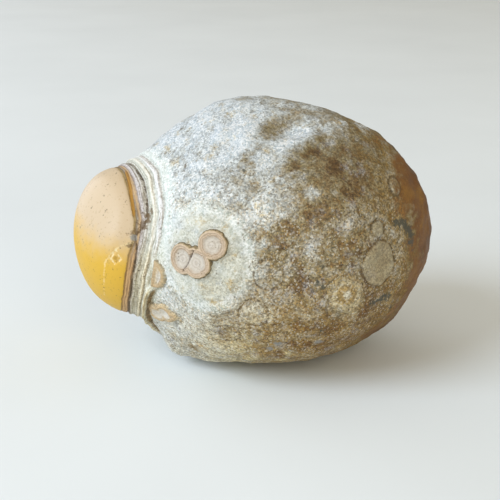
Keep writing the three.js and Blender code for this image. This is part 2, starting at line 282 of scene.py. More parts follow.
# Turn, rise, radius. Where two meet, each stops at the line between them, and none grows over
# the collar.
DISCS = np.array([
    # The cluster of three at the front.
    [-34.2, 4.8, 2.35],
    [-28.1, 4.4, 2.35],
    [-22.2, 11.7, 2.2],
    # The half disc beside the collar, and three low ones under it.
    [-49.1, -4.7, 2.15],
    [-54.3, -23.2, 1.75],
    [-49.3, -22.3, 1.75],
    [-44.6, -22.4, 0.8],
    # The back.
    [-147, 21, 2.3],
    [-140, 14, 2.0],
    [158, -12, 2.4],
])
# Distance outside the edge of a disc, and height.
DISC_SECTION = np.array([
    [-3.0, 0.12], [-1.3, 0.14], [-0.95, 0.24], [-0.75, 0.46], [-0.55, 0.36], [-0.35, 0.58],
    [-0.12, 0.5], [0.02, 0.32], [0.14, -0.12], [0.3, -0.14], [0.7, 0],
])
DISC_CRACK = [[-29.3, 8.8], [-30.9, 5.6], [-31.9, 3.4], [-33.6, 0.5]]
DISC_CRACK_WIDTH = 0.14
DISC_CRACK_DEPTH = 0.4

# Turn, rise, radius, height, how much browner or paler it is inside, and how clear its edge is.
ORBS = np.array([
    # Two that are filled with buff silica, and the ringed eye.
    [42.0, 1.4, 3.6, 0.2, -0.06, 0.8],
    [42.9, 14.4, 1.35, 0.14, -0.1, 0.9],
    [27.6, -7.1, 3.1, 0.12, 0.0, 0.35],
    # Fainter ones over the front.
    [4.3, 16.8, 2.5, 0.16, 0.2, 0.25],
    [-1.4, 1.1, 2.2, 0.12, -0.12, 0.6],
    [-7.0, -14.3, 2.3, 0.14, -0.04, 0.5],
    [-18.5, -25.9, 2.0, 0.06, 0.1, 0.6],
    [2.5, -27.0, 1.5, 0.08, -0.06, 0.4],
    [13.9, -24.1, 1.3, 0.1, -0.08, 0.35],
    [57.9, 26.4, 1.5, 0.14, -0.12, 0.6],
    [31.9, 18.2, 1.7, 0.08, -0.1, 0.3],
    # The back.
    [127, 10, 3.0, 0.2, -0.1, 0.8],
    [139, 30, 2.6, 0.2, 0.1, 0.6],
    [168, 16, 3.0, 0.18, -0.12, 0.8],
    [-160, -10, 2.6, 0.18, 0.1, 0.5],
    [-120, 34, 2.4, 0.16, -0.1, 0.7],
    [128, -22, 2.4, 0.18, -0.12, 0.6],
])
ORB_GROOVE_DEPTH = 0.22
ORB_GROOVE_WIDTH = 0.2
ORB_SHOULDER = 0.6  # how far in from its groove an orb reaches its full height
# No orb is quite round, and its edge fades along parts of its way: how much, and over what size.
ORB_WANDER = 0.32
ORB_WANDER_SIZE = 2.6
ORB_EDGE_LEAST = 0.4
ORB_FADE_SIZE = 2.4
ORB_FADES = [-0.4, 0.05]

# Turn, rise, height, and the radius over which it fades.
LUMPS = np.array([
    # Swellings and hollows of the outline.
    [-66, -47, 1.4, 3.2],
    [-48, -53, 0.45, 2.6],
    [71, -34, 0.5, 2.4],
    [74, -15, -0.3, 2.6],
    [85, 46, 0.3, 2.2],
    [74, 57, -0.25, 3.5],
    [-89, 33, -0.25, 2.2],
    [-77, -22, -0.2, 2.5],
    # Two pits at the top, with knobs round them.
    [10, 61.5, -1.1, 2.3],
    [20, 60.0, -0.6, 1.9],
    [14, 53.6, 0.5, 1.3],
    [22, 53.2, 0.6, 1.3],
    [27.5, 53.2, 0.4, 1.0],
    [25.5, 48.6, -0.75, 2.1],
    [34, 47, 0.25, 1.8],
    # Knobs and dents over the front.
    [-36.1, 56.1, 0.5, 1.6],
    [-17.8, 55.8, 0.55, 1.8],
    [-27, 54.0, -0.35, 1.3],
    [-12, 62, 0.35, 1.5],
    [-18, -27, -0.45, 1.9],
    [-5, -41, 0.35, 1.8],
    [20, -38, 0.3, 1.5],
    [34, 30, -0.35, 2.0],
    # The back and the blunt end.
    [160, 42, -0.8, 2.2],
    [-165, 38, 0.5, 2.4],
    [146, 2, -0.6, 2.0],
    [-172, -24, 0.6, 2.8],
    [-128, -8, -0.5, 2.2],
    [112, -34, 0.5, 2.6],
    [104, 24, -0.4, 2.2],
])
# A raised crease runs down from the pits.
CREASE = [[29.4, 53.4], [30.7, 49.1], [29.2, 40.8]]
CREASE_HEIGHT = 0.35
CREASE_WIDTH = 0.4
COLLAR_REACH = 4.1  # how far behind the cap's edge the collar overlaps the discs


def places(bearings):
    bearings = np.atleast_2d(np.array(bearings, float))
    return skin_points(HEART, toward(bearings[:, 0], bearings[:, 1]))


disc_places = places(DISCS)
orb_places = places(ORBS)
lump_places = places(LUMPS)
disc_crack = places(DISC_CRACK)
chip = places(CHIP)
veins = places(VEINS)
crease = places(CREASE)


def distance_to(points, place):
    return np.linalg.norm(points - place, axis=-1)


def outside_discs(points):
    discs = zip(disc_places, DISCS[:, 2])
    nearest = np.min([distance_to(points, at) - radius for at, radius in discs], axis=0)
    return np.maximum(nearest, COLLAR_REACH - around_cap(points)[1])


def waves(points, size, seed):
    """Smooth noise, about -1 to 1, whose lumps are about the given size across."""
    shift = Vector((17.3 * seed, -9.1 * seed, 5.7 * seed))
    return np.array([noise.noise(Vector(point) / size + shift) for point in points])


def outside_orbs(points):
    wander = ORB_WANDER * waves(points, ORB_WANDER_SIZE, seed=3)
    orbs = zip(orb_places, ORBS[:, 2])
    return np.array([distance_to(points, at) - radius for at, radius in orbs]) + wander


def ramped(value, low, high):
    share = np.clip((value - low) / (high - low), 0, 1)
    return share * share * (3 - 2 * share)


def orb_edges(points, outsides, width):
    """How clear the nearest orb's edge is at each point."""
    unfaded = ramped(waves(points, ORB_FADE_SIZE, seed=7), *ORB_FADES)
    edges = [clear * bell(outside, width) for outside, clear in zip(outsides, ORBS[:, 5])]
    return (ORB_EDGE_LEAST + (1 - ORB_EDGE_LEAST) * unfaded) * np.max(edges, axis=0)


# The weathered skin is uneven on two scales: broad dimples, and a rough sugary crust. Both set in
# along the collar, between these two ledges, and stop round the discs, at these distances.
DIMPLE_SIZE = 2.8
DIMPLE_HEIGHT = 0.3
CRUST_SIZE = 0.95
CRUST_HEIGHT = 0.13
CRUST_LEDGES = [4, 8]
CRUST_OFF_DISCS = [0.1, 0.8]


def dimples(points):
    return waves(points, DIMPLE_SIZE, seed=1)


def crust(points):
    return waves(points, CRUST_SIZE, seed=2)


def distance_to_lines(points, corners):
    """Distance from the nearest of the straight lines that join the corners in turn."""
    nearest = np.full(len(points), np.inf)
    for start, end in zip(corners, corners[1:]):
        along = np.clip((points - start) @ (end - start) / ((end - start) ** 2).sum(), 0, 1)
        nearest = np.minimum(nearest, distance_to(points, start + along[:, None] * (end - start)))
    return nearest


def relief(points):
    height = collar_relief(points)
    disc = outside_discs(points)
    height += np.interp(disc, *DISC_SECTION.T)
    height -= DISC_CRACK_DEPTH * bell(distance_to_lines(points, disc_crack), DISC_CRACK_WIDTH)
    height += CREASE_HEIGHT * bell(distance_to_lines(points, crease), CREASE_WIDTH)
    height -= CHIP_DEPTH * bell(distance_to_lines(points, chip), CHIP_WIDTH)
    outsides = outside_orbs(points)
    height -= ORB_GROOVE_DEPTH * orb_edges(points, outsides, ORB_GROOVE_WIDTH)
    for outside, swell in zip(outsides, ORBS[:, 3]):
        height += swell * ramped(outside, 0, -ORB_SHOULDER)
    for at, (swell, radius) in zip(lump_places, LUMPS[:, 2:]):
        height += swell * bell(distance_to(points, at), radius)
    rough = ramped(around_cap(points)[2], *CRUST_LEDGES) * ramped(disc, *CRUST_OFF_DISCS)
    height += rough * DIMPLE_HEIGHT * dimples(points)
    return height + rough * CRUST_HEIGHT * crust(points)


# ---- the skin's mesh ---------------------------------------------------------------------------
# The whole skin is one closed mesh. Each corner is found along a ray that starts on the cap's
# axis: the rays fan out over the cap, stand square to the axis along the collar, and fan out
# again over the body. Edges near the discs and other fine work are then halved.

MM = 0.001  # in metres

COLUMNS = 300
CAP_ROWS = 34
COLLAR_STEP = 0.13  # in ledges
BODY_ROWS = 116
HALVING_ROUNDS = 2
FINEST_FACET = 0.17
FACET_GROWTH = 0.35
# Facets are finest this near to the middle of a disc's rim, to a line, and to an orb's edge,
# where they start a little larger.
RIM_MIDDLE = -0.4
RIM_REACH = 0.7
LINE_REACH = 0.3
ORB_EDGE_REACH = 0.4
ORB_EDGE_START = 0.3

heart_behind = (CAP_FOOT - HEART) @ cap_axis
columns = np.arange(COLUMNS) * 360 / COLUMNS
edge_behind = np.interp(columns, *CAP_EDGE.T)
spacing = np.interp(columns, *LEDGE_SPACING.T)


def rays(behind, tilt, angle):
    behind, tilt, angle = np.broadcast_arrays(behind, np.radians(tilt), np.radians(angle))
    out = np.cos(angle)[:, None] * cap_up + np.sin(angle)[:, None] * cap_front
    starts = CAP_FOOT - behind[:, None] * cap_axis
    return starts, np.cos(tilt)[:, None] * cap_axis + np.sin(tilt)[:, None] * out


ray_rows = [rays([0.0], 0, 0)]
for share in np.arange(1, CAP_ROWS) / CAP_ROWS:
    ray_rows.append(rays(edge_behind * share, 90 * share, columns))
collar_width = LEDGES[-1, 0]
for ledge in np.arange(0, collar_width, COLLAR_STEP):
    ray_rows.append(rays(edge_behind + ledge * spacing, 90, columns))
for share in np.arange(BODY_ROWS) / BODY_ROWS:
    collar_end = edge_behind + collar_width * spacing
    behind = collar_end + (heart_behind - collar_end) * min(share * 2, 1)
    ray_rows.append(rays(behind, 90 * (1 + share), columns))
ray_rows.append(rays([heart_behind], 180, 0))
ray_starts = np.concatenate([starts for starts, _ in ray_rows])
ray_directions = np.concatenate([directions for _, directions in ray_rows])

ring_count = len(ray_rows) - 2
here = 1 + np.arange(ring_count)[:, None] * COLUMNS + np.arange(COLUMNS)
beside = np.roll(here, -1, axis=1)
first_ring, last_ring = np.zeros(COLUMNS, int), np.full(COLUMNS, len(ray_starts) - 1)
faces = np.concatenate([
    np.stack([first_ring, beside[0], here[0]], -1),
    np.stack([here[:-1], beside[1:], here[1:]], -1).reshape(-1, 3),
    np.stack([here[:-1], beside[:-1], beside[1:]], -1).reshape(-1, 3),
    np.stack([last_ring, here[-1], beside[-1]], -1),
])


def longest_edge(points):
    """The longest edge allowed at a point: short over fine work, and longer further off."""
    off = np.clip(np.abs(outside_discs(points) - RIM_MIDDLE) - RIM_REACH, 0, None)
    for line in (disc_crack, chip, veins):
        off = np.minimum(off, np.clip(distance_to_lines(points, line) - LINE_REACH, 0, None))
    off_orbs = np.clip(np.abs(outside_orbs(points)).min(0) - ORB_EDGE_REACH, 0, None)
    return FINEST_FACET + FACET_GROWTH * np.minimum(off, ORB_EDGE_START + off_orbs)


def halve_long_edges(starts, directions, points, faces):
    ends = np.sort(np.stack([faces, np.roll(faces, -1, axis=1)], -1), axis=-1).reshape(-1, 2)
    edges, edge_of_side = np.unique(ends, axis=0, return_inverse=True)
    a, b = edges.T
    middles = (points[a] + points[b]) / 2
    long = distance_to(points[a], points[b]) > longest_edge(middles)
    halves = np.full(len(edges), -1)
    halves[long] = len(points) + np.arange(long.sum())
    new_starts = (starts[a] + starts[b])[long] / 2
    new_directions = unit((directions[a] + directions[b])[long])
    starts = np.concatenate([starts, new_starts])
    directions = np.concatenate([directions, new_directions])
    points = np.concatenate([points, skin_points(new_starts, new_directions)])
    # Turn each face so that a lone halved edge comes first, or a lone whole edge comes last.
    sides = halves[edge_of_side.reshape(-1, 3)]
    halved = sides >= 0
    count = halved.sum(1)
    lone_half, lone_whole = halved.argmax(1), (~halved).argmax(1)
    turn = np.where(count == 1, lone_half, np.where(count == 2, (lone_whole + 1) % 3, 0))
    order = (np.arange(3) + turn[:, None]) % 3
    corners = np.take_along_axis(faces, order, 1)
    sides = np.take_along_axis(sides, order, 1)
    cuts = {
        0: ["abc"],
        1: ["axc", "xbc"],
        2: ["xby", "axy", "ayc"],
        3: ["axz", "xby", "zyc", "xyz"],
    }
    pieces = []
    for halved_sides, letters in cuts.items():
        chosen = count == halved_sides
        named = dict(zip("abcxyz", [*corners[chosen].T, *sides[chosen].T]))
        pieces += [np.stack([named[letter] for letter in piece], -1) for piece in letters]
    return starts, directions, points, np.concatenate(pieces)


skin = skin_points(ray_starts, ray_directions)
for _ in range(HALVING_ROUNDS):
    ray_starts, ray_directions, skin, faces = halve_long_edges(
        ray_starts, ray_directions, skin, faces
    )
corners = skin + skin_normals(skin) * relief(skin)[:, None]
corners[:, 2] = np.clip(corners[:, 2], 0, None)  # the flat spot
lowest, highest = np.array(cad_box) / MM  # and nothing reaches past the solid
corners = np.clip(corners, lowest, highest)

stone_mesh = bpy.data.meshes.new("agate_stone")
stone_mesh.from_pydata((corners * MM).tolist(), [], faces.tolist())
stone_mesh.shade_smooth()
stone = bpy.data.objects.new("agate_stone", stone_mesh)
bpy.context.scene.collection.objects.link(stone)

# ---- the stone's markings ----------------------------------------------------------------------
# Iron stains, chalky caliche and dark mineral specks lie in and on the skin. Where each one is,
# and how far a point is from each ring and line, is kept on the mesh for the material to read.

# Turn, rise, radius, and how much browner or, below zero, chalkier the skin is there.
STAINS = [
    [27, 30, 5.0, 0.04],
    [40, 27, 5.0, 0.05],
    [58, 40, 6.0, 0.04],
    [43, 43, 4.0, 0.04],
    [3, 8, 4.0, 0.12],
    [-8, 3, 3.5, 0.12],
    [-18, -8, 3.5, 0.16],
    [14, -4, 2.5, 0.14],
    [-13, 17, 2.5, -0.12],
    [-18, 56, 3.0, -0.1],
    [-25, 49, 2.5, -0.1],
    [10, 12, 2.5, -0.06],
    [12, 40, 2.0, 0.04],
    [33, -14, 3.0, -0.08],
    [0, 25, 2.5, -0.1],
    [22, 31, 3.5, 0.1],
    [-19, -4, 3.0, 0.1],
    [1, 7, 2.5, 0.06],
    [26, -14, 2.5, -0.1],
    [8, -38, 3.0, 0.12],
    [-11.6, 50.2, 2.2, 0.12],
    [57, 24, 4.0, -0.08],
    [10, 21, 3.0, 0.12],
    [14, 37, 4.0, 0.12],
    [-10, 34, 3.0, 0.1],
    [-36, 20, 3.5, 0.06],
    [-22, 67, 4.0, -0.18],
    [-58, 62, 4.0, -0.14],
    [-26, 48, 3.0, -0.12],
    [62, 34, 4.0, -0.08],
    [52, 12, 3.0, -0.06],
    [10.7, -17, 1.5, -0.2],
    [24.9, -17.3, 1.8, -0.26],
    [30, -30, 4.0, 0.12],
    [5, -36, 4.0, 0.1],
    [5, 0, 5.0, 0.08],
    [22, -1, 3.5, 0.08],
    [13, -12, 6.0, 0.12],
    [36, -24, 4.0, -0.04],
    [-2, -42, 8.0, -0.08],
    [-42, -32, 7.0, -0.08],
    [-18, -27, 4.0, 0.03],
    [26, 48.5, 2.6, 0.16],
    [32.6, 46.5, 1.3, -0.26],
    [4, 63, 2.3, 0.36],
    [20, 57, 2.2, -0.5],
    [12, 54.5, 1.6, -0.35],
    [14.2, 36.6, 1.3, -0.34],
    [18.1, 31.7, 1.1, -0.46],
    [-0.3, 41.1, 2.4, -0.2],
    [-3.8, 49.6, 2.4, -0.18],
    [-1, 28, 4.0, -0.14],
    [-3.8, 12.0, 2.2, -0.14],
    [-36.1, 56.1, 1.6, -0.34],
    [-17.8, 55.8, 1.8, -0.36],
    [-13.6, 63.2, 1.5, -0.3],
    [33.7, -34.2, 2.2, -0.16],
    [9.0, -37.1, 1.1, -0.45],
    [53.6, 55.9, 0.9, -0.45],
    [54.7, 67.9, 2.0, -0.35],
    [37.7, 56.2, 0.8, -0.3],
    [67.6, 52.4, 1.6, -0.3],
    [13.9, -24.1, 1.4, -0.12],
    [20.6, -39.1, 1.4, -0.18],
    [54.2, 18.1, 1.2, -0.12],
    [59.0, -4.5, 1.3, -0.14],
    [-50, -41, 3.0, 0.12],
    [-30, 24, 5.0, -0.06],
    [-22, 22, 2.5, 0.1],
    # The back and the blunt end.
    [110, 30, 8.0, 0.1],
    [150, 20, 9.0, -0.15],
    [175, -10, 9.0, 0.12],
    [-150, 40, 8.0, -0.12],
    [-130, -10, 8.0, 0.08],
]
# Dark mineral specks: turn, rise, radius.
SPECKS = [
    # A curved row beyond the filled orbs, and a straight row below them.
    [53.0, 14.4, 0.75],
    [55.2, 13.6, 0.85],
    [57.6, 12.3, 0.95],
    [59.8, 10.2, 1.0],
    [60.8, 7.6, 1.0],
    [60.6, 5.2, 0.8],
    [39.4, -12.9, 0.6],
    [41.4, -12.9, 0.75],
    [44.0, -12.8, 0.9],
    [46.4, -12.4, 0.85],
    [48.3, -12.2, 0.65],
    # Single ones.
    [54.4, -19.2, 0.55],
    [22.3, 10.3, 0.55],
    [17.9, 4.0, 0.42],
    [17.0, -2.1, 0.5],
    [18.9, -3.6, 0.45],
    [-14.3, 41.0, 0.32],
    [20.1, -22.2, 0.42],
    # The back.
    [130, 25, 0.7],
    [133, 22, 0.9],
    [170, 30, 0.6],
    [-155, 5, 0.8],
    [-152, 8, 0.6],
    [110, -12, 0.6],
]
# Brown grime caught in the broken ledges at the cap's front, and small windows of clear grey
# chalcedony beside it and underneath: turn, rise, radius.
GRIME = [
    [-57.2, 5.0, 0.5],
    [-57.0, 9.8, 0.85],
    [-56.3, 12.6, 0.9],
    [-55.6, 15.6, 0.85],
    [-55.0, 18.2, 0.5],
]
WINDOWS = [
    [-57.0, 7.6, 0.62],
    [20.8, -29.8, 0.75],
    [3.0, -30.5, 0.7],
    [-0.5, -34.5, 0.6],
]
# A pale ringed halo lies round the cluster of three discs, and an orb further along is a ringed
# eye. Near the collar the discs are worn chalky, within the given reach of one place.
HALO_PLACE = [-26.8, 6.0]
EYE_PLACE = [27.6, -7.1]
FADED_PLACE = [-51, -14]
FADED_REACH = [5.5, 7.0]
# Two fine cracks high on the front: turn and rise of each corner.
SKIN_CRACKS = [
    [[-39.8, 42.9], [-38.0, 40.2], [-35.4, 37.1]],
    [[-14, 43], [-12, 40.2], [-13.5, 37]],
]

# The body is nearly clean beside the collar and browns towards the blunt end and low down.
CLEAN_TONE = 0.1
BROWNING = 0.56
BROWNING_ALONG = [-17, 22]
LOW_BROWNING = 0.06
LOW_HEIGHTS = [30, 10]
TOP_PALING = 0.03
TOP_HEIGHTS = [36, 43]
# Painted shade and light follow the relief: the hollows are painted browner, the lumps between
# them paler, and each orb has a pale ring.
DIMPLE_SHADING = 0.16
CRUST_SHADING = 0.14
ORB_TINT_EDGE = [0.1, -0.5]
ORB_RING_PALENESS = 0.12
ORB_RING_OFF = 0.55
ORB_RING_WIDTH = 0.35
ORB_FILL_EDGE = [0, -0.5]
FILLED_ORBS = 2  # the first two orbs are filled with buff silica
# The sugary crust sets in along the collar in two steps: from and to which ledge, and how much.
SUGAR_STEPS = [[0.5, 2, 0.55], [4.2, 7, 0.45]]
# Clay clings low down, least under the cap, and the sun has bleached the top.
CLAY_HEIGHTS = [26, 8]
CLAY_LEAST = 0.35
CLAY_ALONG = [-15, 5]
BLEACHED_HEIGHTS = [27, 41]
# The cap is worn pale above a line that falls along the stone, and rises at the cap's tip.
WEAR_FALL = 0.06
WEAR_START = -25
WEAR_TIP_RISE = 2
WEAR_TIP_ALONG = [-25, -30]
# Stretches round the cap, as angles: where each starts, is full, fades and is gone.
BROWNER_BANDS = [68, 96, 230, 290]
CLEAN_SEAM = [150, 200, 300, 340]
GOLDEN_BAND = [6, 16, 50, 60]
CAP_RIM_LIGHT = [12, 22, 55, 68]
GILDED_TOP = [14, 34]  # to either side of the top
# Where the golden band, the painted rim light on the cap's edge and its gilding lie behind the
# cap's edge, and how wide they are, in ledges. The band slants nearer to the edge by so much a
# degree.
GOLD_LEDGE = 1.1
GOLD_SLANT = 0.016
GOLD_WIDTH = 0.3
CAP_RIM_LIGHT_LEDGE = -0.25
CAP_RIM_LIGHT_WIDTH = 0.2
GILT_LEDGE = -0.35
GILT_WIDTH = 0.34
# The dirt in the seam, whose width is in ledges, and the lip's pale crest and the painted shade in
# the groove behind it.
SEAM_DIRT_WIDTH = 0.19
SEAM_BREAK_SIZE = 1.7
SEAM_BREAKS = [-0.4, 0.1]
LIP_TONE_WIDTH = 0.24
LIP_SHADE_BEHIND = 0.5

# The blunt end is scoured down to smooth, glossy brown: where, how many degrees across at its
# middle, and how it widens above and below that, between two rises.
BROWN_END = [101, 0]
BROWN_END_SPREAD = 42
BROWN_END_WIDENING = 0.013
BROWN_END_RISE = [-38, 24]
# Islands of crust left on the scoured end: turn, rise, radius.
CRUST_ISLANDS = [
    [97, 20, 2.4],
    [99, -24, 3.2],
    [120, 24, 5.0],
    [128, -10, 4.0],
    [106, 40, 4.0],
    [84, 38, 2.5],
    [112, -44, 5.0],
    [112, 2, 1.8],
]


def spot(turn, rise, radius):
    """A round spot on the skin: 1 at its middle, fading out round about."""
    return bell(distance_to(skin, places([turn, rise])), radius)


def spots(rows):
    return np.max([spot(*row) for row in rows], axis=0)


along, height = skin[:, 0], skin[:, 2]
angle, behind_edge, ledge = around_cap(skin)
disc = outside_discs(skin)
orbs = outside_orbs(skin)
filled_orb = orbs[:FILLED_ORBS].min(0)
halo = distance_to(skin, places(HALO_PLACE))

stain = CLEAN_TONE + BROWNING * ramped(along, *BROWNING_ALONG)
stain += LOW_BROWNING * ramped(height, *LOW_HEIGHTS) - TOP_PALING * ramped(height, *TOP_HEIGHTS)
for turn, rise, radius, amount in STAINS:
    stain += amount * spot(turn, rise, radius)
for outside, (tint, clearness) in zip(orbs, ORBS[:, 4:]):
    ring = ORB_RING_PALENESS * clearness * bell(outside - ORB_RING_OFF, ORB_RING_WIDTH)
    stain += tint * ramped(outside, *ORB_TINT_EDGE) - ring
# Painted shade in the hollows of the dimples and crust, and painted light on the lumps between
# them.
stain -= DIMPLE_SHADING * dimples(skin) + CRUST_SHADING * crust(skin)

# How many degrees inside the edge of the scoured end each point is. An island of crust takes the
# whole spread away at its middle.
heading = unit(skin - HEART)
end_off = np.degrees(np.arccos(heading @ toward(*BROWN_END)))
end_rise = np.clip(np.degrees(np.arcsin(heading[:, 2])), *BROWN_END_RISE)
end = BROWN_END_SPREAD + BROWN_END_WIDENING * end_rise**2 - end_off
for island in CRUST_ISLANDS:
    end -= BROWN_END_SPREAD * spot(*island)

# How sugary the crust is. It is worn finer where the skin is smooth: what that follows, where it
# starts and where it is full, and how much is lost.
sugar = sum(amount * ramped(ledge, start, full) for start, full, amount in SUGAR_STEPS)
for mark, start, full, loss in [
    (disc, 0.2, -0.1, 0.6),
    (end, -5, 5, 0.65),
    (halo, 9, 6, 0.5),
    (filled_orb, *ORB_FILL_EDGE, 0.4),
    (height, *BLEACHED_HEIGHTS, 0.3),
]:
    sugar *= 1 - loss * ramped(mark, start, full)


def stretch(start, full, fading, gone):
    """Which points lie on one stretch round the cap, with both its ends faded."""
    return ramped(angle, start, full) * (1 - ramped(angle, fading, gone))


# The seam's dirt is broken into pieces, and the wind has cleaned it out behind the cap.
seam = bell(ledge - np.interp(angle, *SEAM.T), SEAM_DIRT_WIDTH)
seam *= ramped(waves(skin, SEAM_BREAK_SIZE, seed=5), *SEAM_BREAKS)
seam *= 1 - stretch(*CLEAN_SEAM)
off_top = np.minimum(angle, 360 - angle)
lip_there, lip_off = lip(angle, behind_edge)
cracks = [disc_crack, *(places(crack) for crack in SKIN_CRACKS)]
chip_middle = chip[:-1].mean(0)
clay_spread = CLAY_LEAST + (1 - CLAY_LEAST) * ramped(along, *CLAY_ALONG)
wear_line = WEAR_TIP_RISE * ramped(along, *WEAR_TIP_ALONG) - WEAR_FALL * (along - WEAR_START)
markings = {
    # What has coloured the body all over.
    "stain": stain,
    "clay": ramped(height, *CLAY_HEIGHTS) * clay_spread,
    "bleach": ramped(height, *BLEACHED_HEIGHTS),
    "sugar": sugar,
    "end": end,
    # Small spots.
    "speck": spots(SPECKS),
    "grime": spots(GRIME),
    "clear": spots(WINDOWS),
    # The cap: how far above the wear line, its gilded top, the painted highlight along its front
    # edge, its chip and veins.
    "worn": height - wear_line,
    "gilt": (1 - ramped(off_top, *GILDED_TOP)) * bell(ledge - GILT_LEDGE, GILT_WIDTH),
    "rim_light": stretch(*CAP_RIM_LIGHT) * bell(ledge - CAP_RIM_LIGHT_LEDGE, CAP_RIM_LIGHT_WIDTH),
    "chip": distance_to_lines(skin, chip),
    "chip_floor": bell(distance_to(skin, chip_middle), CHIP_FLOOR),
    "vein": distance_to_lines(skin, veins),
    # The collar: its ledges, where they are browner below, the seam, the golden band, the lip and
    # the painted shade behind it.
    "ledge": ledge,
    "below": stretch(*BROWNER_BANDS),
    "seam": seam,
    "gold": stretch(*GOLDEN_BAND) * bell(ledge - GOLD_LEDGE + GOLD_SLANT * angle, GOLD_WIDTH),
    "lip": lip_there * bell(lip_off, LIP_TONE_WIDTH),
    "lip_groove": lip_there * bell(lip_off - LIP_SHADE_BEHIND, LIP_TONE_WIDTH),
    # Discs, orbs, the halo, the eye and the cracks.
    "disc": disc,
    "faded": 1 - ramped(distance_to(skin, places(FADED_PLACE)), *FADED_REACH),
    "orb": orb_edges(skin, orbs, ORB_GROOVE_WIDTH),
    "orb_fill": ramped(filled_orb, *ORB_FILL_EDGE),
    "halo": halo,
    "eye": distance_to(skin, places(EYE_PLACE)),
    "crack": np.min([distance_to_lines(skin, crack) for crack in cracks], axis=0),
}
for name, values in markings.items():
    layer = stone_mesh.attributes.new(name, "FLOAT", "POINT")
    layer.data.foreach_set("value", np.asarray(values, np.float32))

# ---- the agate's skin --------------------------------------------------------------------------
# Wind-worn chalcedony. The cap was rubbed smooth and glows like wax; the body keeps a sugary,
# almost matt crust of quartz grains, chalk-white where caliche clings and brown where iron soaked
# in; the discs are pinkish buttons of purer silica. Sizes are in millimetres.

QUARTZ_IOR = 1.54  # chalcedony is fine-grained quartz
GROWTH_SPACING = 4.4
GROWTH_EDGE = [0.42, 0.36]  # in shares of the spacing, from outside in
GROWTH_WOBBLE = 1.1
GROWTH_WOBBLE_SIZE = 1.6
GRAIN_SIZE = 0.24
STREAKS_PER_LEDGE = 5.0
STREAKS_PER_MM = 0.4
CAP_WORN_HEIGHTS = [19.6, 26.6]
PIT_SIZE = 0.34
GRIT_DEPTH = 0.2
CRUST_ROUGHNESS = 0.78
SLEEK_ROUGHNESS = 0.52


def linear(colour):
    """An sRGB hex colour as a linear one."""
    parts = [int(colour[place : place + 2], 16) / 255 for place in (1, 3, 5)]
    return [
        *(part / 12.92 if part <= 0.04045 else ((part + 0.055) / 1.055) ** 2.4 for part in parts),
        1,
    ]


def node(tree, kind, sockets=None, stops=None, wanted=0, **settings):
    """Adds a node with its settings, fills or links its sockets, and gives the wanted output."""
    made = tree.nodes.new("ShaderNode" + kind)
    for name, value in settings.items():
        setattr(made, name, value)
    for socket, value in (sockets or {}).items():
        if isinstance(value, bpy.types.NodeSocket):
            tree.links.new(value, made.inputs[socket])
        elif isinstance(value, str):
            made.inputs[socket].default_value = linear(value)
        else:
            made.inputs[socket].default_value = value
    if stops:
        elements = made.color_ramp.elements
        while len(elements) < len(stops):
            elements.new(1)
        for element, (at, colour) in zip(elements, stops):
            element.position = at
            element.color = linear(colour)
    return made.outputs[wanted]


PER_MM = 1 / MM  # a pattern this many times to the metre repeats every millimetre

material = bpy.data.materials.new("wind_worn_chalcedony")
material.use_nodes = True
tree = material.node_tree
tree.nodes.clear()
at = node(tree, "TexCoord", wanted="Object")

# Unevenness, each from about -0.3 to 0.3: blotches, clumps of grains, crumbs, and the washes
# where iron tinted the crust in patches of every size. Name, size, detail, roughness.
uneven = {}
for name, size, detail, roughness in [
    ("blotches", 4.0, 3.0, 0.6),
    ("clumps", 1.1, 2.0, 0.6),
    ("crumbs", 0.45, 2.0, 0.6),
    ("washes", 2.7, 4.0, 0.8),
]:
    cloud = node(
        tree,
        "TexNoise",
        {"Vector": at, "Scale": PER_MM / size, "Detail": detail, "Roughness": roughness},
    )
    uneven[name] = node(tree, "Math", {0: cloud, 1: 0.5}, operation="SUBTRACT")

# Round growths, 2 to 4 mm across, show faintly all over the body where the skin cuts them.
wobble = node(
    tree,
    "TexNoise",
    {"Vector": at, "Scale": PER_MM / GROWTH_WOBBLE_SIZE, "Detail": 1.0},
    wanted="Color",
)
wobbled = node(
    tree,
    "VectorMath",
    {0: wobble, 1: (GROWTH_WOBBLE * MM,) * 3, 2: at},
    wanted="Vector",
    operation="MULTIPLY_ADD",
)
growth = node(
    tree,
    "TexVoronoi",
    {"Vector": wobbled, "Scale": PER_MM / GROWTH_SPACING},
    wanted="Distance",
)
growth_tone = node(tree, "SeparateColor", {"Color": growth.node.outputs["Color"]})
inside_growth = node(
    tree,
    "MapRange",
    {
        "Value": growth,
        "From Min": GROWTH_EDGE[0],
        "From Max": GROWTH_EDGE[1],
        "To Min": 0.5,
        "To Max": growth_tone,
    },
    interpolation_type="SMOOTHSTEP",
)
uneven["growths"] = node(tree, "Math", {0: inside_growth, 1: 0.5}, operation="SUBTRACT")

# The quartz grains are 0.1 to 0.2 mm in the stone, drawn at 0.24 mm so that they show. Some are
# ochre, some are clear and carry a painted glint of highlight, and all differ in lightness.
grains = node(tree, "TexVoronoi", {"Vector": at, "Scale": PER_MM / GRAIN_SIZE}, wanted="Color")
grain_parts = node(tree, "SeparateColor", {"Color": grains})
grain, ochre_grain, clear_grain = grain_parts.node.outputs

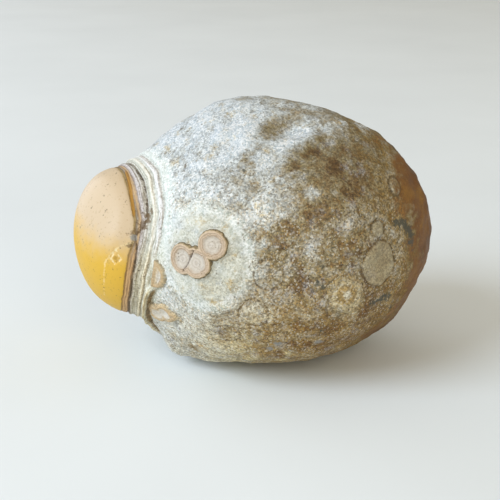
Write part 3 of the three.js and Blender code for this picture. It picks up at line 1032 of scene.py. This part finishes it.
# Each mark is read from the mesh, and its edge is frayed by the unevenness. Name, mark, and how
# much of each kind of unevenness is added to it.
marks = {
    name: node(tree, "Attribute", wanted="Fac", attribute_name=name) for name in markings
}
frayed = {}
for name, mark, amounts in [
    ("tone", "stain", {"blotches": 0.65, "clumps": 0.5, "crumbs": 0.4, "growths": 0.25}),
    ("halo", "halo", {"clumps": 1.2, "crumbs": 0.6}),
    ("eye", "eye", {"clumps": 1.0, "crumbs": 0.5}),
    ("end", "end", {"blotches": 40.0, "clumps": 22.0, "crumbs": 10.0}),
    ("band", "ledge", {"clumps": 0.36, "crumbs": 0.3}),
    ("collar", "ledge", {"clumps": 3.0, "blotches": 2.0}),
    ("seam", "seam", {"crumbs": 1.6, "clumps": 0.6}),
    ("disc", "disc", {"clumps": 0.55, "crumbs": 0.45}),
    ("crack", "crack", {"crumbs": 0.2}),
    ("chip", "chip", {"crumbs": 0.9}),
    ("vein", "vein", {"crumbs": 0.55, "clumps": 0.3}),
    ("orb", "orb", {"crumbs": 0.9}),
    ("speck", "speck", {"crumbs": 1.8, "clumps": 0.8}),
    ("grime", "grime", {"crumbs": 2.0, "clumps": 1.2}),
    ("clear", "clear", {"crumbs": 1.0}),
    ("worn", "worn", {"blotches": 5.0, "clumps": 1.5}),
]:
    value = marks[mark]
    for kind_of_uneven, amount in amounts.items():
        value = node(
            tree,
            "Math",
            {0: uneven[kind_of_uneven], 1: amount, 2: value},
            operation="MULTIPLY_ADD",
        )
    frayed[name] = value

# Colours that run across a mark: the mark, and the colour at each distance or tone.
tones = {}
for name, mark, stops in [
    ("body", frayed["tone"], [
        (0.0, "#CDD3D4"), (0.15, "#C2C7C6"), (0.3, "#ABADA7"), (0.42, "#989384"), (0.52, "#8B8169"),
        (0.62, "#7F7353"), (0.72, "#705D3B"), (0.85, "#5A4423"), (1.0, "#473113"),
    ]),
    ("halo", frayed["halo"], [
        (0.0, "#BFC1B5"), (4.0, "#C2C4B8"), (5.2, "#C6C7B9"), (5.8, "#D0D2C6"), (6.5, "#B9BCB1"),
        (7.3, "#D9DEDA"), (8.2, "#CCD1CB"), (9.2, "#A7A594"), (10.0, "#9C9986"),
    ]),
    ("end", uneven["blotches"], [(-0.25, "#4E2F06"), (0.0, "#69410C"), (0.25, "#825D1E")]),
    ("eye", frayed["eye"], [
        (0.0, "#E4E2D2"), (0.6, "#D6D2BE"), (0.95, "#9C8450"), (1.5, "#A38D5B"), (2.0, "#BDB495"),
        (2.5, "#A89C7C"), (3.2, "#8B7D57"), (3.7, "#B0A88C"),
    ]),
    # The collar's colours are partly the bands' own and partly painted light and shade: the raised
    # ledges are painted lighter and the grooves between them darker.
    ("collar above", frayed["band"], [
        (0.0, "#C9B48C"), (0.2, "#A8905F"), (0.5, "#75664A"), (0.75, "#A2978A"), (1.0, "#C2A57C"),
        (1.2, "#BFA685"), (1.4, "#8C8078"), (1.6, "#BDB8B8"), (1.85, "#CBC8CA"), (2.1, "#A39E96"),
        (2.3, "#D2D2CF"), (2.6, "#A9A69C"), (2.85, "#CDD0CA"), (3.05, "#B5B6AA"), (3.3, "#CDD2CB"),
        (3.5, "#D8DACF"), (3.7, "#ECECE2"), (3.95, "#E0E1DB"), (4.1, "#C2C6BE"), (4.4, "#DADFDF"),
        (4.7, "#E6E9ED"), (4.9, "#CFCFD0"), (5.05, "#B2B1AA"), (5.2, "#CFD6D2"), (5.9, "#D6DEDC"),
        (7.0, "#CBD2D0"), (8.0, "#C0C7C4"),
    ]),
    ("collar below", frayed["band"], [
        (0.0, "#B5954C"), (0.15, "#937338"), (0.35, "#BF9A64"), (0.6, "#CBA677"), (0.75, "#A9865A"),
        (0.9, "#CDAA7C"), (1.15, "#BE996C"), (1.35, "#80674A"), (1.6, "#B0A188"), (1.85, "#8F8370"),
        (2.1, "#C6C1B0"), (2.35, "#A7A18D"), (2.6, "#CBC8B6"), (2.85, "#B5AF9A"), (3.05, "#D2CEBD"),
        (3.3, "#B3AE97"), (3.5, "#DDD6BC"), (3.7, "#ECE4CC"), (3.9, "#C3B99E"), (4.0, "#A59A80"),
        (4.3, "#D6D6C8"), (4.8, "#DDDFD1"), (5.2, "#D2D6CB"), (5.7, "#D3D4C6"), (7.2, "#C8CDC6"),
        (8.0, "#BFC5C0"),
    ]),
    # Across a disc, partly its own buff and pink and partly painted light and shade: the rims'
    # crests are painted lighter, the grooves between them darker, and a painted shadow lies just
    # outside the rim.
    ("disc", frayed["disc"], [
        (-2.4, "#CAC3B9"), (-2.1, "#B4AB9F"), (-1.9, "#CAC3B9"), (-1.65, "#B6ADA0"),
        (-1.4, "#C8C1B6"), (-1.1, "#BBB3A7"), (-0.9, "#BFB3A3"), (-0.76, "#A08D77"),
        (-0.6, "#C5B29C"), (-0.42, "#AC9982"), (-0.26, "#CAB69E"), (-0.1, "#B7A487"),
        (0.02, "#857451"), (0.12, "#574A31"),
    ]),
    ("faded disc", frayed["disc"], [
        (-2.0, "#D2CEC5"), (-0.85, "#CCC5B8"), (-0.6, "#BFAE90"), (-0.3, "#B79E79"),
        (-0.05, "#BDAA88"), (0.12, "#AEA48C"),
    ]),
    ("grit", uneven["blotches"], [(-0.2, "#A98A4C"), (0.2, "#8F6A2C")]),
]:
    first, last = stops[0][0], stops[-1][0]
    share = node(tree, "MapRange", {"Value": mark, "From Min": first, "From Max": last})
    shares = [((at_mark - first) / (last - first), colour) for at_mark, colour in stops]
    tones[name] = node(tree, "ValToRGB", {"Fac": share}, shares)

# Fine streaks run along the collar's bands.
streak_place = node(tree, "CombineXYZ", {
    "X": node(tree, "Math", {0: marks["ledge"], 1: STREAKS_PER_LEDGE}, operation="MULTIPLY"),
    "Y": node(tree, "Math", {0: marks["worn"], 1: STREAKS_PER_MM}, operation="MULTIPLY"),
})
streak = node(tree, "TexNoise", {"Vector": streak_place, "Scale": 1.0, "Detail": 2.0})
streak_tint = node(
    tree,
    "ValToRGB",
    {"Fac": streak},
    [(0.3, "#A39784"), (0.42, "#DDD8CF"), (0.6, "#FFFFFF")],
)

# Colours that change from one to another: how far, from what, and to what. A mix of colours has
# its share at socket 0, and the colours at 6 and 7.
cap_paleness = node(
    tree,
    "MapRange",
    {"Value": frayed["worn"], "From Min": CAP_WORN_HEIGHTS[0], "From Max": CAP_WORN_HEIGHTS[1]},
    interpolation_type="SMOOTHSTEP",
)
blends = {}
for name, share, from_colour, to_colour in [
    ("collar", marks["below"], tones["collar above"], tones["collar below"]),
    ("disc", marks["faded"], tones["disc"], tones["faded disc"]),
    ("cap", cap_paleness, "#D3A931", "#C7B395"),
]:
    blends[name] = node(
        tree,
        "Mix",
        {0: share, 6: from_colour, 7: to_colour},
        wanted=2,
        data_type="RGBA",
    )

# Each grain's lightness, how far it is ochre or carries a painted glint, and the dust and pores on
# the cap.
grain_light = node(tree, "MapRange", {"Value": grain, "To Min": 0.16, "To Max": 0.85})
ochre = node(tree, "Math", {0: ochre_grain, 1: marks["sugar"]}, operation="MULTIPLY")
painted_glint = node(tree, "Math", {0: clear_grain, 1: marks["sugar"]}, operation="MULTIPLY")
dust = node(
    tree,
    "MapRange",
    {"Value": marks["ledge"], "From Min": 0.0, "From Max": -0.2, "To Max": uneven["crumbs"]},
)
on_cap = node(tree, "MapRange", {"Value": marks["ledge"], "From Min": -0.2, "From Max": -0.6})
pores = node(tree, "Math", {0: grain, 1: on_cap}, operation="MULTIPLY")

# Coats of colour, each over the last: what each follows, where it starts and where it is full, how
# much it covers, its colour, and how it mixes.
skin_colour = tones["body"]
for mark, start, full, cover, colour, mixing in [
    # The body: clay, sun, halo, washes of iron and chalk, the scoured end, and the orbs.
    (marks["clay"], 0.0, 1.0, 1.0, "#FBE3AE", "MULTIPLY"),
    (marks["bleach"], 0.0, 1.0, 1.0, "#F0F3F8", "MULTIPLY"),
    (frayed["halo"], 9.8, 7.4, 0.75, tones["halo"], "MIX"),
    (uneven["washes"], 0.02, 0.27, 0.9, "#EBC67C", "MULTIPLY"),
    (uneven["washes"], 0.0, -0.25, 0.42, "#BCC5D0", "MIX"),
    (frayed["end"], -15.0, -2.0, 0.5, "#80682F", "MIX"),
    (frayed["end"], -4.0, 8.0, 0.96, tones["end"], "MIX"),
    (marks["orb_fill"], 0.0, 1.0, 0.6, "#A69D83", "MIX"),
    (frayed["eye"], 3.8, 3.0, 0.7, tones["eye"], "MIX"),
    (frayed["orb"], 0.15, 0.55, 0.6, "#4A3B22", "MIX"),
    # The collar.
    (frayed["collar"], 7.6, 6.0, 1.0, blends["collar"], "MIX"),
    (frayed["seam"], 0.3, 0.8, 0.85, "#5C4E3B", "MIX"),
    (marks["gold"], 0.2, 0.7, 0.9, "#A87A1E", "MIX"),
    # Painted shade in the groove behind the lip.
    (marks["lip_groove"], 0.0, 0.8, 0.9, "#75591D", "MIX"),
    (marks["lip"], 0.0, 1.0, 0.8, "#D2C193", "MIX"),
    (marks["ledge"], 6.5, 4.5, 0.9, streak_tint, "MULTIPLY"),
    # The discs and cracks, and the grains over all of these.
    (frayed["disc"], 0.24, 0.12, 1.0, blends["disc"], "MIX"),
    (frayed["crack"], 0.17, 0.05, 0.8, "#54422F", "MIX"),
    (ochre, 0.78, 0.86, 0.35, tones["grit"], "MIX"),
    (marks["sugar"], 0.0, 1.0, 0.7, grain_light, "OVERLAY"),
    # Painted highlight: pale glints on the clear grains.
    (painted_glint, 0.8, 0.97, 0.38, "#DFDDD4", "MIX"),
    # The cap, its dust, its gilded edge, the painted highlight on its front edge, and its pores.
    (frayed["band"], 0.08, -0.08, 1.0, blends["cap"], "MIX"),
    (dust, 0.0, 1.0, 0.3, "#8F6A2C", "MIX"),
    (marks["gilt"], 0.2, 0.8, 0.75, "#A98640", "MIX"),
    # Painted highlight: a pale rim light along the cap's front edge.
    (marks["rim_light"], 0.2, 0.8, 0.6, "#E6DAC4", "MIX"),
    (pores, 0.955, 0.99, 0.2, "#8F6428", "MIX"),
    # The small spots, and the chip and veins.
    (frayed["grime"], 0.25, 0.75, 0.75, "#67502F", "MIX"),
    (frayed["clear"], 0.3, 0.75, 0.85, "#8B8C8B", "MIX"),
    (frayed["speck"], 0.3, 0.75, 0.85, "#3F433C", "MIX"),
    (frayed["vein"], 0.2, 0.04, 0.45, "#EAD9A8", "MIX"),
    (marks["chip_floor"], 0.25, 0.75, 0.8, "#A9821F", "MIX"),
    (frayed["chip"], 0.16, 0.04, 0.6, "#E9DCB2", "MIX"),
]:
    amount = node(
        tree,
        "MapRange",
        {"Value": mark, "From Min": start, "From Max": full, "To Max": cover},
        interpolation_type="SMOOTHSTEP",
    )
    skin_colour = node(
        tree,
        "Mix",
        {0: amount, 6: skin_colour, 7: colour},
        wanted=2,
        data_type="RGBA",
        blend_type=mixing,
    )

# The cap is waxy and the scoured end polished; the sugary crust is rougher and gritty.
waxy = node(
    tree,
    "MapRange",
    {"Value": marks["ledge"], "From Min": 0.4, "From Max": -0.2},
    interpolation_type="SMOOTHSTEP",
)
polished = node(
    tree,
    "MapRange",
    {"Value": frayed["end"], "From Min": -2.0, "From Max": 6.0, "To Max": 0.7},
    interpolation_type="SMOOTHSTEP",
)
sleek = node(tree, "Math", {0: waxy, 1: polished}, operation="MAXIMUM")
skin_roughness = node(
    tree,
    "MapRange",
    {"Value": sleek, "To Min": CRUST_ROUGHNESS, "To Max": SLEEK_ROUGHNESS},
)

# Pits between the grains fade out where the skin is sleek, and a faint groove rings each growth.
pits = node(tree, "TexNoise", {"Vector": at, "Scale": PER_MM / PIT_SIZE, "Detail": 2.0})
grit_height = node(
    tree,
    "MapRange",
    {"Value": sleek, "From Max": 1.02, "To Min": pits, "To Max": 0.5},
)
ring_depth = node(tree, "MapRange", {"Value": sleek, "To Min": -0.5, "To Max": 0.0})
ring_groove = node(
    tree,
    "MapRange",
    {
        "Value": growth,
        "From Min": GROWTH_EDGE[1],
        "From Max": GROWTH_EDGE[0],
        "To Max": ring_depth,
    },
    interpolation_type="SMOOTHSTEP",
)
roughened = node(tree, "Math", {0: grit_height, 1: ring_groove})
bump = node(tree, "Bump", {"Height": roughened, "Distance": GRIT_DEPTH * MM, "Strength": 0.8})
shader = node(
    tree,
    "BsdfPrincipled",
    {"Base Color": skin_colour, "Roughness": skin_roughness, "IOR": QUARTZ_IOR, "Normal": bump},
)
tree.links.new(shader, tree.nodes.new("ShaderNodeOutputMaterial").inputs["Surface"])
stone_mesh.materials.append(material)

# The whole stone is one piece on the one body.
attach(stone, "root")
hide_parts("agate")

# ---- the table ---------------------------------------------------------------------------------
# The stone lies on a plain sheet of matt pale paper, off one wide roll. It runs out flat, and
# curves up far behind the stone. Sizes are in metres.

FLOOR_WIDTH = 12.0
FLOOR_FRONT = -6.0
FLOOR_BACK = 1.6
SWEEP_RADIUS = 0.9
SWEEP_STEPS = 16
SWEEP_TOP = 3.0
CLOUDING_SIZE = 60  # in millimetres: the paper is very slightly uneven in tone

sweep = [(FLOOR_FRONT, 0.0), (FLOOR_BACK, 0.0)]
for step in range(1, SWEEP_STEPS + 1):
    bend = math.radians(90 * step / SWEEP_STEPS)
    sweep.append((FLOOR_BACK + SWEEP_RADIUS * math.sin(bend), SWEEP_RADIUS * (1 - math.cos(bend))))
sweep.append((FLOOR_BACK + SWEEP_RADIUS, SWEEP_TOP))
floor_mesh = bpy.data.meshes.new("floor")
floor_mesh.from_pydata(
    [(x, y, z) for y, z in sweep for x in (-FLOOR_WIDTH / 2, FLOOR_WIDTH / 2)],
    [],
    [(2 * row, 2 * row + 1, 2 * row + 3, 2 * row + 2) for row in range(len(sweep) - 1)],
)
floor_mesh.shade_smooth()
floor = bpy.data.objects.new("floor", floor_mesh)
bpy.context.scene.collection.objects.link(floor)
paper = bpy.data.materials.new("matt_pale_paper")
paper.use_nodes = True
paper_tree = paper.node_tree
paper_tree.nodes.clear()
paper_at = node(paper_tree, "TexCoord", wanted="Object")
clouding = node(
    paper_tree,
    "TexNoise",
    {"Vector": paper_at, "Scale": PER_MM / CLOUDING_SIZE, "Detail": 3.0},
)
tint = node(paper_tree, "ValToRGB", {"Fac": clouding}, [(0.3, "#DEE6EB"), (0.7, "#E2EAEF")])
paper_shader = node(paper_tree, "BsdfPrincipled", {"Base Color": tint, "Roughness": 0.85})
paper_output = paper_tree.nodes.new("ShaderNodeOutputMaterial")
paper_tree.links.new(paper_shader, paper_output.inputs["Surface"])
floor_mesh.materials.append(paper)

# ---- light -------------------------------------------------------------------------------------
# One soft window to the upper left, a weaker warm fill from the front, a cool side light from the
# left behind that skims the cap, and warm light reflected from the room all round.

STONE_MIDDLE = Vector((0, 0, 21.7)) * MM
ROOM_COLOUR = "#FFF1DA"
ROOM_STRENGTH = 0.58

# Name, place and width in metres, watts, colour.
for name, place, width, watts, colour in [
    ("window", (-0.6, -0.36, 0.5), 0.55, 5.9, "#E4F0FF"),
    ("fill", (0.3, -0.85, 0.4), 0.8, 2.6, "#FFF4DC"),
    ("side", (-0.65, 0.55, 0.26), 0.5, 2.2, "#EEF3FF"),
]:
    light = bpy.data.lights.new(name, "AREA")
    light.shape = "DISK"
    light.size = width
    light.energy = watts
    light.color = linear(colour)[:3]
    lamp = bpy.data.objects.new(name, light)
    lamp.location = place
    lamp.rotation_euler = (STONE_MIDDLE - Vector(place)).to_track_quat("-Z", "Y").to_euler()
    bpy.context.scene.collection.objects.link(lamp)

room = bpy.data.worlds.new("room")
bpy.context.scene.world = room
room.use_nodes = True
background = room.node_tree.nodes["Background"]
background.inputs["Color"].default_value = linear(ROOM_COLOUR)
background.inputs["Strength"].default_value = ROOM_STRENGTH

# ---- camera ------------------------------------------------------------------------------------
# Looks along +Y and a little down, a short way off, like a hand-held view across a table. The
# sizes are in millimetres, and the lens is so many sensor widths long.

CAMERA_PITCH = 19
CAMERA_DISTANCE = 177
CAMERA_DROP = 3.5
CAMERA_SIDE = -0.25
FOCAL_IN_WIDTHS = 2.11
SENSOR = 36
NEAREST_SEEN = 0.01  # in metres

pitch = math.radians(CAMERA_PITCH)
looking = Vector((0, math.cos(pitch), -math.sin(pitch)))
camera_up = Vector((0, math.sin(pitch), math.cos(pitch)))
camera_data = bpy.data.cameras.new("camera")
camera_data.sensor_width = SENSOR
camera_data.lens = SENSOR * FOCAL_IN_WIDTHS
camera_data.clip_start = NEAREST_SEEN
camera = bpy.data.objects.new("camera", camera_data)
camera.location = STONE_MIDDLE + (
    Vector((CAMERA_SIDE, 0, 0)) - looking * CAMERA_DISTANCE - camera_up * CAMERA_DROP
) * MM
camera.rotation_euler = (math.radians(90 - CAMERA_PITCH), 0, 0)
bpy.context.scene.collection.objects.link(camera)
bpy.context.scene.camera = camera
bpy.context.scene.view_settings.view_transform = "Standard"
